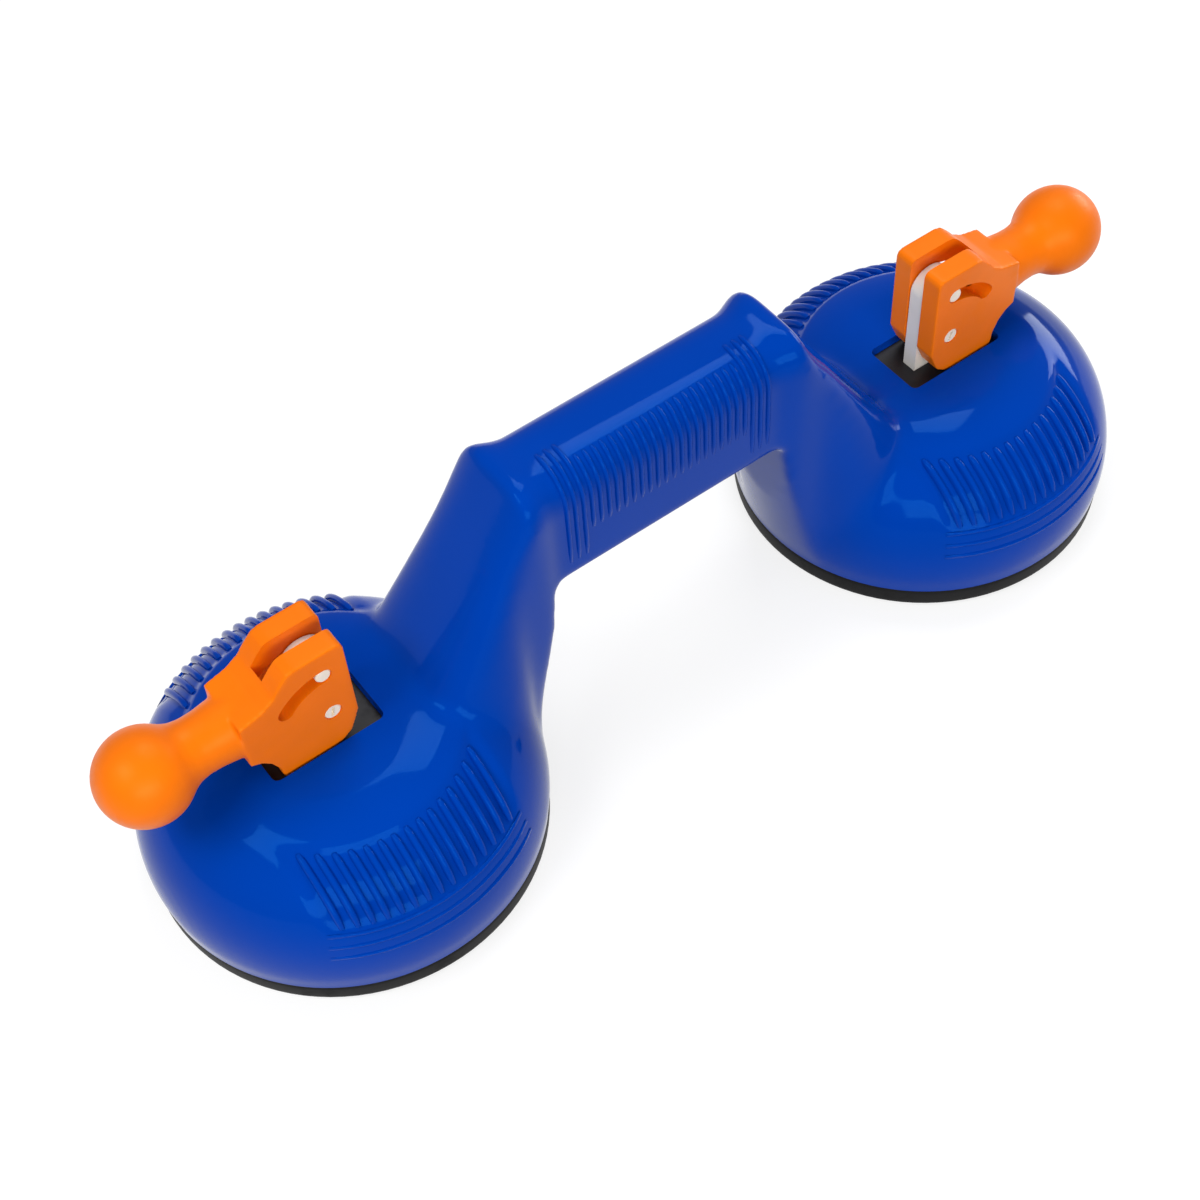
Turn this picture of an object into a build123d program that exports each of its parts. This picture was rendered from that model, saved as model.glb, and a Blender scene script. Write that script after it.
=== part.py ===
from build123d import *
import math
import os

# Two-cup glass lifter, in millimetres. X runs along the handle, Y across it, Z up.
# The glass is Z = 0 and the origin is midway between the two cups.
# Levers are modelled folded outwards, which is the locked position.

# Housing: two cup covers, two arms and the grip in one moulding
housing_radius = 60.0
rim_gap = 100.0
rim_height = 5.0
rim_draft = 0.8
bulge_height = 13.0
shoulder_inset = 11.5
shoulder_height = 41.0
crown_inset = 34.0
crown_height = 53.0
housing_wall = 3.0

# Grip and arms
handle_half_length = 37.0
handle_half_width = 14.5
handle_top = 109.0
handle_depth = 39.5
handle_corner = 10.5
crest_offset = 9.5
crest_rise = 1.2
crest_flare = 3.0
arm_flare = 9.0
arm_dish = 2.0
arm_foot_overlap = 12.0
arm_foot_drop = 1.0
arm_edge_inset = 1.0
inboard_lean = 8.0
cross_rib_count = 7
cross_rib_width = 1.6
cross_rib_setback = 2.0

# Raised ribs on the grip, and the ribbed hollows in the cup shoulders
grip_rib_pitch = 2.75
grip_rib_width = 1.4
grip_rib_rise = 0.9
grip_rib_count = 26
grip_end_ribs = 3
bare_band_half_width = 7.0
grip_rib_drop = 27.0
cup_rib_count = 15
cup_rib_pitch = 3.9
cup_slot_width = 1.9
cup_slot_depth = 1.6
cup_step_depth = 0.5
cup_step_margin = 2.0
cup_slot_outer_inset = 5.0
cup_slot_inner_inset = 19.0

# Pocket for the lever, and the steel pad under its cams
pocket_inboard = 14.0
pocket_outboard = 21.5
pocket_half_width = 10.4
pocket_corner = 2.0
pocket_depth = 3.9
pad_thickness = 1.2
pad_margin = 0.4
cam_clearance = 0.2
roof_wall = 3.0

# Lifting stem, with a flat blade on a round foot that slides in a guide
stem_radius = 8.0
stem_running_gap = 0.15
stem_above_plate = 3.5
stem_shoulder_gap = 0.4
blade_thickness = 5.0
blade_half_width = 6.8
blade_slot_gap = 0.2
blade_end_wall = 1.4
guide_wall = 2.4
guide_length = 12.0

# Lever: fork with two cam cheeks, neck and ball
pivot_above_pad = 16.0
cam_lift_per_radian = 6.0
lever_travel_degrees = 50.0
cam_steps = 8
cheek_inboard = 7.2
cheek_inboard_corner = 5.0
cheek_outboard = 17.5
cheek_top = 25.5
cheek_top_outboard = 10.0
cheek_top_corner = 1.5
lever_width = 19.0
slit_width = 5.8
slit_reach = 21.5
slit_square_reach = 14.0
stop_pin_reach = 16.5
neck_above_pivot = 6.0
neck_root_radius = 9.0
neck_root_reach = 26.0
neck_radius = 7.8
neck_start = 15.0
neck_waist = 32.0
ball_reach = 51.0
ball_radius = 13.8
neck_into_ball = 10.2

# Pins
pivot_pin_radius = 2.6
pivot_screw_radius = 1.4
pivot_screw_head = 2.0
pivot_screw_length = 9.0
stop_pin_radius = 2.3
pin_inset = 0.2
pin_fit_gap = 0.02
pin_running_gap = 0.06
stop_slot_gap = 0.15
screwdriver_slot_depth = 0.8
screwdriver_slot_width = 0.9
near_slot_turn = 20.0
far_slot_turn = 75.0

# Rubber disc, with the steel plate and stud bonded to its middle
disc_inset = 1.6
disc_edge_chamfer = 1.4
seal_width = 11.4
disc_hinge_inset = 8.4
disc_centre_radius = 24.0
disc_centre_lift = 4.5
disc_centre_thickness = 4.0
plate_radius = 21.0
plate_thickness = 2.0
stud_radius = 4.0
stud_engagement = 12.0
thread_gap = 0.05

# Return spring
spring_radius = 13.0
spring_wire_radius = 1.0
spring_turns = 5.5
spring_end_gap = 0.1

# Places that follow from the sizes above
cup_x = housing_radius + rim_gap / 2
shoulder_radius = housing_radius - shoulder_inset
crown_radius = housing_radius - crown_inset
disc_radius = housing_radius - disc_inset
seal_inner_radius = disc_radius - seal_width
disc_hinge_radius = disc_radius - disc_hinge_inset
handle_underside = handle_top - handle_depth
pad_seat_height = crown_height - pocket_depth
pad_top = pad_seat_height + pad_thickness
pivot_height = pad_top + cam_clearance + pivot_above_pad
roof_height = pad_seat_height - roof_wall
stem_shoulder = roof_height - stem_shoulder_gap
blade_top = pivot_height + stop_pin_reach + stop_pin_radius + blade_end_wall
plate_bottom = disc_centre_lift + disc_centre_thickness
plate_top = plate_bottom + plate_thickness
stem_foot_height = plate_top + stem_above_plate
crest_x = handle_half_length + crest_offset
arm_run = cup_x - crown_radius - crest_x
gap_top_half = handle_half_length + crest_offset / 3
gap_foot_half = gap_top_half + inboard_lean
across = Plane.XZ


def at_cup(shape):
    """Moves a shape made on the origin to the right-hand cup."""
    return Pos(cup_x, 0, 0) * shape


def upright_cylinder(radius, low, high):
    """A cylinder on the Z axis between two heights."""
    shape = Cylinder(radius, high - low, align=(Align.CENTER, Align.CENTER, Align.MIN))
    return Pos(0, 0, low) * shape


def cross_cylinder(radius, y_low, y_high, x, z):
    """A cylinder along Y, for pins and their holes."""
    shape = Cylinder(radius, y_high - y_low)
    return Pos(x, (y_low + y_high) / 2, z) * Rot(90, 0, 0) * shape


def block(x_low, x_high, half_width, z_low, z_high):
    """A box that is centred on Y."""
    shape = Box(x_high - x_low, 2 * half_width, z_high - z_low)
    return Pos((x_low + x_high) / 2, 0, (z_low + z_high) / 2) * shape


def cup_cover(inset, top, bottom):
    """A cup: drafted rim, full skirt, rounded shoulder and flat crown."""
    outer = housing_radius - inset
    with BuildSketch(across) as section:
        with BuildLine():
            Line((0, bottom), (outer - rim_draft, bottom))
            Line((outer - rim_draft, bottom), (outer, bulge_height))
            Spline(
                (outer, bulge_height),
                (shoulder_radius - inset, shoulder_height - inset),
                (crown_radius - inset, top),
                tangents=((0, 1), (-1, 0)),
            )
            Line((crown_radius - inset, top), (0, top))
            Line((0, top), (0, bottom))
        make_face()
    return at_cup(revolve(section.sketch, axis=Axis.Z))


def bridge_face(x, half_base, half_top, base, top, corner):
    """Section of an arm or the grip: a trapezium with rounded top corners."""
    plane = Plane(origin=(x, 0, 0), x_dir=(0, 1, 0), z_dir=(1, 0, 0))
    corners = ((-half_base, base), (half_base, base), (half_top, top), (-half_top, top))
    face = plane * Polygon(*corners, align=None)
    return fillet(face.vertices().sort_by(Axis.Z)[2:], corner)


def cup_chord(x):
    """Half width of the cup's rim at a place along the lifter."""
    return math.sqrt(max(housing_radius**2 - (cup_x - x) ** 2, 0.0))


def arm_station(x, inset):
    """Section of the arm on its slope, between the crest and the cup's crown."""
    share = (x - crest_x) / arm_run
    half_top = handle_half_width + crest_flare + (arm_flare - crest_flare) * share
    half_base = max(cup_chord(x) - arm_edge_inset, half_top + crest_flare)
    top = handle_top - (handle_top - crown_height) * share - arm_dish * math.sin(math.pi * share)
    corner = handle_corner - inset
    return bridge_face(x, half_base - inset, half_top - inset, -inset, top - inset, corner)


def arm_solid(inset):
    """One arm: rises from the width of a cup to the end of the grip."""
    corner = handle_corner - inset
    half = handle_half_width - inset
    crest_half = half + crest_flare
    crest_top = handle_top + crest_rise - inset
    faces = [bridge_face(handle_half_length, half, half, -inset, handle_top - inset, corner)]
    faces.append(bridge_face(crest_x, crest_half, crest_half, -inset, crest_top, corner))
    for share in (0.25, 0.5, 0.75, 1.0):
        faces.append(arm_station(crest_x + share * arm_run, inset))
    foot_x = crest_x + arm_run + arm_foot_overlap
    foot_half = crown_radius - inset
    foot_base = cup_chord(foot_x) - arm_edge_inset - inset
    foot_top = crown_height - arm_foot_drop - inset
    faces.append(bridge_face(foot_x, foot_base, foot_half, -inset, foot_top, corner))
    return loft(faces)


def arm_envelope(inset):
    """A leaning cone that brings the foot of the arm in to the round rim."""
    rim = Circle(housing_radius - rim_draft - inset)
    wide = Circle(housing_radius + handle_half_width - inset)
    low = Pos(cup_x, 0, rim_height) * rim
    high = Pos(cup_x - inboard_lean, 0, handle_top + 2 * crest_rise) * wide
    cone = loft([low.face(), high.face()])
    if inset:
        return cone + at_cup(upright_cylinder(housing_radius - rim_draft - inset, -inset, rim_height))
    return cone


def grip_solid(inset, low):
    """The straight grip between the arms."""
    half = handle_half_width - inset
    corner = handle_corner - inset
    face = bridge_face(-handle_half_length, half, half, low, handle_top - inset, corner)
    return extrude(face, 2 * handle_half_length)


def finger_gap(wall):
    """What is open under the grip and between the cups, less a wall."""
    top_half = gap_top_half + wall
    foot_half = gap_foot_half + wall
    ceiling = handle_underside + wall
    floor = -housing_radius
    with BuildSketch(across) as side:
        with BuildLine():
            Polyline(
                (-foot_half, floor),
                (foot_half, floor),
                (foot_half, rim_height),
                (top_half, ceiling),
                (-top_half, ceiling),
                (-foot_half, rim_height),
                close=True,
            )
        make_face()
    return extrude(side.sketch, 2 * housing_radius, both=True)


def both_sides(shape):
    """A right-hand shape with its mirror image."""
    return [shape, mirror(shape, about=Plane.YZ)]


def grip_ribs():
    """Raised ribs round the grip, with a bare band along its crown."""
    ribs = []
    bare = block(-handle_half_length, handle_half_length, bare_band_half_width, 0, 2 * handle_top)
    skin = grip_solid(-grip_rib_rise, handle_top - grip_rib_drop)
    full_skin = grip_solid(-grip_rib_rise, handle_underside)
    middle = (grip_rib_count - 1) / 2
    for number in range(grip_rib_count):
        x = (number - middle) * grip_rib_pitch
        half = grip_rib_width / 2
        cut = block(x - half, x + half, housing_radius, 0, 2 * handle_top)
        end_rib = min(number, grip_rib_count - 1 - number) < grip_end_ribs
        rib = (full_skin & cut) if end_rib else ((skin & cut) - bare)
        ribs.extend(rib.solids())
    return ribs


def shoulder_zone(margin):
    """Ring on the cup's shoulders that holds the ribs, as wide as the ribs reach."""
    high = 2 * crown_height
    outer = housing_radius - cup_slot_outer_inset + margin
    inner = housing_radius - cup_slot_inner_inset - margin
    ring = upright_cylinder(outer, bulge_height, high) - upright_cylinder(inner, 0, high)
    reach = cup_rib_count * cup_rib_pitch / 2 + margin
    return at_cup(ring & block(-reach, reach, 2 * housing_radius, 0, high))


def shoulder_slots():
    """Shallow hollow in the shoulders, with deeper slots that leave ribs between them."""
    high = 2 * crown_height
    step = shoulder_zone(cup_step_margin)
    step = step - cup_cover(cup_step_depth, crown_height - cup_step_depth, rim_height)
    half = cup_slot_width / 2
    middle = (cup_rib_count - 1) / 2
    slots = []
    for number in range(cup_rib_count):
        x = cup_x + (number - middle) * cup_rib_pitch
        slots.append(block(x - half, x + half, housing_radius, 0, high))
    deep = shoulder_zone(0) & Compound(slots)
    deep = deep - cup_cover(cup_slot_depth, crown_height - cup_slot_depth, rim_height)
    return step + deep


def cross_ribs(hollow):
    """Webs across the hollow underside of the grip."""
    webs = []
    pitch = 2 * handle_half_length / (cross_rib_count + 1)
    half = cross_rib_width / 2
    low = handle_underside + cross_rib_setback
    for number in range(1, cross_rib_count + 1):
        x = number * pitch - handle_half_length
        webs.append(hollow & block(x - half, x + half, handle_half_width, low, handle_top))
    return webs


def lever_pocket():
    """Recess in the crown that takes the foot of the fork and the steel pad."""
    shape = block(-pocket_inboard, pocket_outboard, pocket_half_width, pad_seat_height, 2 * crown_height)
    return at_cup(fillet(shape.edges().filter_by(Axis.Z), pocket_corner))


def stem_guide():
    """Tube under the crown that guides the foot of the stem."""
    outer = stem_radius + stem_running_gap + guide_wall
    return at_cup(upright_cylinder(outer, roof_height - guide_length, roof_height))


def stem_way():
    """Bore of the guide, and the slot for the blade through the crown."""
    bore = upright_cylinder(stem_radius + stem_running_gap, 0, roof_height)
    slot = blade_slot(2 * crown_height)
    return at_cup(bore + slot)


def blade_slot(high):
    """Slot that the blade passes through, with its running gap."""
    reach = blade_half_width + blade_slot_gap
    return block(-reach, reach, blade_thickness / 2 + blade_slot_gap, 0, high)


def housing():
    """The one-piece moulding: covers, arms and grip, hollow from below."""
    cover = cup_cover(0, crown_height, rim_height)
    arm = arm_solid(0) & arm_envelope(0)
    hollow_cover = cup_cover(housing_wall, roof_height, -housing_wall)
    hollow_arm = (arm_solid(housing_wall) & arm_envelope(housing_wall)) - finger_gap(housing_wall)
    hollow_grip = grip_solid(housing_wall, handle_underside - housing_wall)
    outer = grip_solid(0, 0)
    for shape in (cover, arm):
        for side in both_sides(shape):
            outer = outer + side
    outer = outer - finger_gap(0)
    for rib in grip_ribs():
        outer = outer + rib
    for shape in (hollow_cover, hollow_arm, lever_pocket(), shoulder_slots()):
        for side in both_sides(shape):
            outer = outer - side
    outer = outer - hollow_grip
    for web in cross_ribs(hollow_grip):
        outer = outer + web
    for side in both_sides(stem_guide()):
        outer = outer + side
    for side in both_sides(stem_way()):
        outer = outer - side
    return outer


def cam_height(turn):
    """Height of the pivot over the pad when the lever has turned this far."""
    return pivot_above_pad - cam_lift_per_radian * turn


def cam_point(turn):
    """Point of the cheek that bears on the pad at a turn, from the pivot."""
    height = cam_height(turn)
    x = -height * math.sin(turn) + cam_lift_per_radian * math.cos(turn)
    z = -height * math.cos(turn) - cam_lift_per_radian * math.sin(turn)
    return (x, z)


def cheek_face():
    """Side outline of the fork, with the cam that lets the stem down steadily."""
    travel = math.radians(lever_travel_degrees)
    cam = [cam_point(travel * step / cam_steps) for step in range(cam_steps + 1)]
    inboard_low = (-cheek_inboard, -cheek_inboard_corner)
    inboard_high = (-cheek_inboard, cheek_top)
    outboard_low = (cheek_outboard, -pivot_above_pad)
    neck_top = (neck_root_reach, neck_above_pivot + neck_root_radius)
    neck_bottom = (neck_root_reach, neck_above_pivot - neck_root_radius)
    with BuildSketch(across) as outline:
        with BuildLine():
            Line(outboard_low, cam[0])
            Spline(*cam)
            Polyline(cam[-1], inboard_low, inboard_high, (cheek_top_outboard, cheek_top))
            Spline((cheek_top_outboard, cheek_top), neck_top, tangents=((1, -0.5), (1, -0.2)))
            Line(neck_top, neck_bottom)
            Spline(neck_bottom, outboard_low, tangents=((-1, -0.3), (-0.3, -1)))
        make_face()
    return outline.sketch


def neck_and_ball():
    """Round neck that swells into the ball at the end of the lever."""
    ball_start = ball_reach - neck_into_ball
    at_ball = math.sqrt(ball_radius**2 - neck_into_ball**2)
    with BuildSketch(Plane.XY) as section:
        with BuildLine():
            Line((neck_start, 0), (neck_start, neck_root_radius))
            Spline(
                (neck_start, neck_root_radius),
                (neck_waist, neck_radius),
                (ball_start, at_ball),
                tangents=((1, 0), (1, 0.9)),
            )
            Line((ball_start, at_ball), (ball_start, 0))
            Line((ball_start, 0), (neck_start, 0))
        make_face()
    neck = revolve(section.sketch, axis=Axis.X)
    ball = Pos(ball_reach, 0, 0) * Sphere(ball_radius)
    return Pos(0, 0, neck_above_pivot) * (neck + ball)


def slit():
    """Gap between the cheeks, clear of the blade over the lever's travel."""
    half = slit_width / 2
    square = block(-2 * cheek_inboard, slit_square_reach, half, -2 * pivot_above_pad, 2 * cheek_top)
    round_end = cross_cylinder(slit_reach, -half, half, 0, 0)
    return square + round_end


def stop_slot():
    """Curved slot in the cheeks for the stop pin, about the pivot."""
    start = 90 - lever_travel_degrees
    width = 2 * (stop_pin_radius + stop_slot_gap)
    path = CenterArc((0, 0), stop_pin_reach, start, lever_travel_degrees)
    return extrude(across * SlotArc(path, width), lever_width, both=True)


def lever():
    """Forked lever, in its locked place over the right-hand cup."""
    fork = extrude(cheek_face(), lever_width / 2, both=True)
    top_edges = fork.edges().filter_by(Axis.Y).sort_by(Axis.Z)[-2:]
    shape = fillet(top_edges, cheek_top_corner) + neck_and_ball()
    shape = shape - slit()
    shape = shape - stop_slot()
    hole = cross_cylinder(pivot_pin_radius + pin_running_gap, -lever_width, lever_width, 0, 0)
    shape = shape - hole
    return Pos(cup_x, 0, pivot_height) * shape


def screwdriver_slot(y, x, z, direction):
    """Slot for a screwdriver in the end of a pin."""
    depth = screwdriver_slot_depth
    shape = Box(screwdriver_slot_width, 2 * depth, 4 * pivot_pin_radius)
    return Pos(x, y, z) * Rot(0, direction, 0) * shape


def pivot_pin():
    """Barrel of the pivot, slotted at its closed end and tapped at the other."""
    near = -lever_width / 2 + pin_inset
    far = lever_width / 2 - pin_inset - pivot_screw_head
    shape = cross_cylinder(pivot_pin_radius, near, far, cup_x, pivot_height)
    tapped = far - pivot_screw_length - 1
    shape = shape - cross_cylinder(pivot_screw_radius, tapped, far, cup_x, pivot_height)
    return shape - screwdriver_slot(near, cup_x, pivot_height, near_slot_turn)


def pivot_screw():
    """Screw that closes the far end of the pivot barrel."""
    far = lever_width / 2 - pin_inset
    seat = far - pivot_screw_head
    head = cross_cylinder(pivot_pin_radius, seat, far, cup_x, pivot_height)
    core = pivot_screw_radius - thread_gap
    shank = cross_cylinder(core, seat - pivot_screw_length, seat, cup_x, pivot_height)
    return head + shank - screwdriver_slot(far, cup_x, pivot_height, far_slot_turn)


def stop_pin():
    """Pin in the top of the blade that runs in the cheeks' curved slots."""
    half = lever_width / 2 - pin_inset
    return cross_cylinder(stop_pin_radius, -half, half, cup_x, pivot_height + stop_pin_reach)


def lifting_stem():
    """Round foot, tapped for the stud, with a flat blade that carries both pins."""
    foot = upright_cylinder(stem_radius, stem_foot_height, stem_shoulder)
    blade = block(-blade_half_width, blade_half_width, blade_thickness / 2, stem_shoulder, blade_top)
    ends = blade.edges().filter_by(Axis.Y).sort_by(Axis.Z)[-2:]
    blade = fillet(ends, blade_half_width - 0.1)
    tapped = upright_cylinder(stud_radius + thread_gap, 0, stem_foot_height + stud_engagement + 1)
    shape = foot + blade - tapped
    half = blade_thickness
    pivot_hole = cross_cylinder(pivot_pin_radius + pin_fit_gap, -half, half, 0, pivot_height)
    stop_height = pivot_height + stop_pin_reach
    stop_hole = cross_cylinder(stop_pin_radius + pin_fit_gap, -half, half, 0, stop_height)
    return at_cup(shape - pivot_hole - stop_hole)


def cam_pad():
    """Steel pad in the pocket, with a slot for the blade."""
    reach = pad_margin
    half = pocket_half_width - reach
    shape = block(-pocket_inboard + reach, pocket_outboard - reach, half, pad_seat_height, pad_top)
    shape = fillet(shape.edges().filter_by(Axis.Z), pocket_corner)
    return at_cup(shape - blade_slot(2 * pad_top))


def rubber_disc():
    """Suction disc: flat sealing ring, thin web and thick middle, drawn up as when locked."""
    top = rim_height
    rim = disc_radius
    with BuildSketch(across) as section:
        with BuildLine():
            Polyline(
                (0, disc_centre_lift),
                (disc_centre_radius, disc_centre_lift),
                (seal_inner_radius, 0),
                (rim - disc_edge_chamfer, 0),
                (rim, disc_edge_chamfer),
                (rim, top),
                (disc_hinge_radius, top),
                (disc_centre_radius, plate_bottom),
                (0, plate_bottom),
                close=True,
            )
        make_face()
    return at_cup(revolve(section.sketch, axis=Axis.Z))


def backing_plate():
    """Steel plate bonded to the middle of the disc."""
    plate = upright_cylinder(plate_radius, plate_bottom, plate_top)
    return at_cup(plate - upright_cylinder(stud_radius + thread_gap, 0, 2 * plate_top))


def disc_stud():
    """Threaded stud through the plate into the foot of the stem."""
    return at_cup(upright_cylinder(stud_radius, plate_bottom, stem_foot_height + stud_engagement))


def return_spring():
    """Coil spring between the plate and the underside of the crown."""
    low = plate_top + spring_wire_radius + spring_end_gap
    high = roof_height - spring_wire_radius - spring_end_gap
    path = Helix((high - low) / spring_turns, high - low, spring_radius, center=(0, 0, low))
    section = Plane(path @ 0, z_dir=path % 0) * Circle(spring_wire_radius)
    return at_cup(sweep(section, path=path))


def other_cup(name, shape):
    """The same part at the left-hand cup: mirrored, or turned where it has a hand."""
    if name == "return_spring":
        return Rot(0, 0, 180) * shape
    return mirror(shape, about=Plane.YZ)


def write(name, shape):
    """Writes one part to its own file."""
    export_step(shape, "parts/" + name + ".step")


paired_parts = {
    "lever": lever,
    "pivot_pin": pivot_pin,
    "pivot_screw": pivot_screw,
    "stop_pin": stop_pin,
    "lifting_stem": lifting_stem,
    "disc_stud": disc_stud,
    "backing_plate": backing_plate,
    "return_spring": return_spring,
    "cam_pad": cam_pad,
    "rubber_disc": rubber_disc,
}

os.makedirs("parts", exist_ok=True)
write("body_shell", housing())
for part_name, make in paired_parts.items():
    right_part = make()
    write("right_" + part_name, right_part)
    write("left_" + part_name, other_cup(part_name, right_part))
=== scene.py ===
# Two-cup glass lifter: a glossy blue housing with a ribbed grip, rubber cups and two orange cam levers.
import math

import bmesh
import bpy
from bpy.props import FloatProperty, FloatVectorProperty, PointerProperty
from bpy.types import Operator, Panel, PropertyGroup
from mathutils import Matrix, Vector


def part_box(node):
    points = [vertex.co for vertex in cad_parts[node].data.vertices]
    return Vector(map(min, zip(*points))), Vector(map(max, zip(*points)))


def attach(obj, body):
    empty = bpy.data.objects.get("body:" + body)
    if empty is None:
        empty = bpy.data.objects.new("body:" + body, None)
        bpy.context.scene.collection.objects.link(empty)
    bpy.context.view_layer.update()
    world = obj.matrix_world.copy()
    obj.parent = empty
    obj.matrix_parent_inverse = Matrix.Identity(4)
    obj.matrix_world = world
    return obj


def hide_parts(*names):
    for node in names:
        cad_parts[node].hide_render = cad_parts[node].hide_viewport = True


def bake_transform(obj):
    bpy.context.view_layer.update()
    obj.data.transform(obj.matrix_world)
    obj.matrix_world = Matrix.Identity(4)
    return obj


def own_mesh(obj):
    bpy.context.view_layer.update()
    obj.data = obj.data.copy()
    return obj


bl_info = {
    "name": "Glass Suction Cup Lifter",
    "version": (1, 0, 0),
    "blender": (4, 5, 0),
    "location": "3D View > Sidebar > Lifter",
    "description": "Builds a two-cup glass lifter with cam levers on its packed frame",
    "category": "Object",
}

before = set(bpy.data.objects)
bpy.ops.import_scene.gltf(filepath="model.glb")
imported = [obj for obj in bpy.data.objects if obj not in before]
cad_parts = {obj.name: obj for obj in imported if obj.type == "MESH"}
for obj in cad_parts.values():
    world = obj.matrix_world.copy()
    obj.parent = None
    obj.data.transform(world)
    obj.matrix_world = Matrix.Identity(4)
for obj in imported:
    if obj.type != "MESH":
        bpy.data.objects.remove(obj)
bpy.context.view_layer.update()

MM = 0.001
SIDES = {"left": -1, "right": 1}


def middle_mm(node):
    """Middle of one part of the frame, in millimetres."""
    low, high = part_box(node)
    return [round((start + end) / 2 / MM, 2) for start, end in zip(low, high)]


# Sizes of the housing, in millimetres from the lifter's middle and from the glass

CUP_X = middle_mm("right_rubber_disc")[0]
CUP_RADIUS = 60.0
RIM_RADIUS = CUP_RADIUS - 0.8
RIM = 7.5
# Radius and height up the side of a cup, from the bulge to the crown
DOME_SECTION = ((60.0, 13.0), (59.9, 18.0), (59.3, 23.0), (58.1, 28.0), (56.2, 33.0), (53.6, 37.6),
                (50.4, 41.6), (46.4, 45.2), (41.5, 48.4), (36.2, 50.9), (31.0, 52.3), (26.0, 53.0))
CROWN_RADIUS, CROWN = DOME_SECTION[-1]
WALL = 3.0
GRIP_END = 37.0
GRIP_SIDE = 14.5
GRIP_TOP = 109.0
GRIP_UNDER = 69.5
GRIP_CORNER = 10.5
CREST_X = 46.5
CREST_RISE = 1.2
CREST_SPREAD = 3.0
ARM_END = 84.0
ARM_SECTIONS = (GRIP_END, 40, 43, CREST_X, 50, 54, 58, 62, 67, 72, 78, ARM_END, 90, 96)
GAP_TOP = 40.2
GAP_FOOT = 48.2
# How much the sides lean, and how far a corner tightens for each millimetre of wall
DRAFT = 0.2
CORNER_SHARE = 0.7

# The lever pocket in the crown: its floor is the foot of the cam pad
POCKET_INBOARD = 14.0
POCKET_OUTBOARD = 21.5
POCKET_SIDE = 10.4
POCKET_FLOOR = round(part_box("right_cam_pad")[0].z / MM, 2)
BLADE_SLOT_LENGTH = 7.0
BLADE_SLOT_SIDE = 2.7

# Shoulder ribs and the fine lines below them
RIB_COUNT = 15
RIB_PITCH = 3.9
RIB_INNER = 40.5
RIB_OUTER = 55.6
LINE_RADII = (56.7, 58.1, 59.1)
LINE_HALF_TURN = 34

# Ribs of the grip, as first place in pitches, count and lower end: the long ones stand at its ends
GRIP_RIB_PITCH = 2.75
MIDDLE_RIBS = (-9.5, 20, 85.5)
END_RIBS = ((-12.5, 3, 76.0), (10.5, 3, 76.0))
# Near and far side, and how far from the crown's middle line the middle and the end ribs start there
RIB_STARTS = ((1, 7.5, 1.5), (-1, 14.1, 14.1))

# Sizes of the levers, with reach and height counted from the pivot
PIVOT_Z = middle_mm("right_pivot_pin")[2]
SLOT_REACH = middle_mm("right_stop_pin")[2] - PIVOT_Z
SLOT_HALF = 2.45
HOLE_RADIUS = 2.66
SLIT_REACH = 21.5
SLIT_HALF = 2.9
CHEEK_HALF = 9.5
CAM_HEIGHT = 16.0
CAM_DROP = 6.0
NECK_UP = 6.0
NECK_SECTION = ((13.0, 8.8), (18.0, 9.4), (23.0, 9.4), (28.0, 9.0), (32.0, 8.5), (36.0, 8.4), (39.0, 8.9),
                (41.0, 9.8))
BALL_REACH = 51.0
BALL_START = 42.6
BALL_RADIUS = 13.8

# Return springs
SPRING_TURNS = 5.5
SPRING_RADIUS = 13.0
SPRING_LOW = 11.6
SPRING_HIGH = 45.0
SPRING_FLAT = 0.35

# Points round a cup, and round a pin or a neck
CUP_POINTS = 96
PIN_POINTS = 48

# The photograph's width, and the lens and its shift counted in the same pixels
PICTURE_WIDTH = 1200
FOCAL_PIXELS = 2011.5
SHIFT_RIGHT_PIXELS = 22.1
SHIFT_UP_PIXELS = 13.2
SENSOR_WIDTH = 36
LARGE_LIGHT_PLACE = (-0.45, -1.15, 0.62)
PANEL_PLACES = ((-0.66, 0.0, 0.88), (0.33, 0.31, 0.99), (1.03, 0.13, 0.3))
LIGHT_AIM = (0, 0, 0.03)


class LifterColours(PropertyGroup):
    """Colours of the lifter's finishes."""

    housing: FloatVectorProperty(
        name="Housing", description="Blue of the moulded housing", subtype="COLOR",
        size=3, min=0, max=1, default=(0.0, 0.046, 0.395))
    lever: FloatVectorProperty(
        name="Lever", description="Orange of the levers", subtype="COLOR",
        size=3, min=0, max=1, default=(0.96, 0.188, 0.002))
    stem: FloatVectorProperty(
        name="Stem", description="Natural white of the lifting stems", subtype="COLOR",
        size=3, min=0, max=1, default=(0.82, 0.78, 0.7))
    pin: FloatVectorProperty(
        name="Pin", description="Cream of the plated pins", subtype="COLOR",
        size=3, min=0, max=1, default=(1.0, 0.88, 0.72))
    rubber: FloatVectorProperty(
        name="Rubber", description="Black of the suction discs", subtype="COLOR",
        size=3, min=0, max=1, default=(0.006, 0.006, 0.0065))
    steel: FloatVectorProperty(
        name="Steel", description="Plates, studs and springs", subtype="COLOR",
        size=3, min=0, max=1, default=(0.55, 0.56, 0.58))
    # The cam pads' near-black is painted shade: it stands in for the shadow in the lever pocket round the
    # fork's foot.
    pad: FloatVectorProperty(
        name="Cam pad", description="Blackened steel of the cam pads", subtype="COLOR",
        size=3, min=0, max=1, default=(0.02, 0.02, 0.024))


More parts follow.
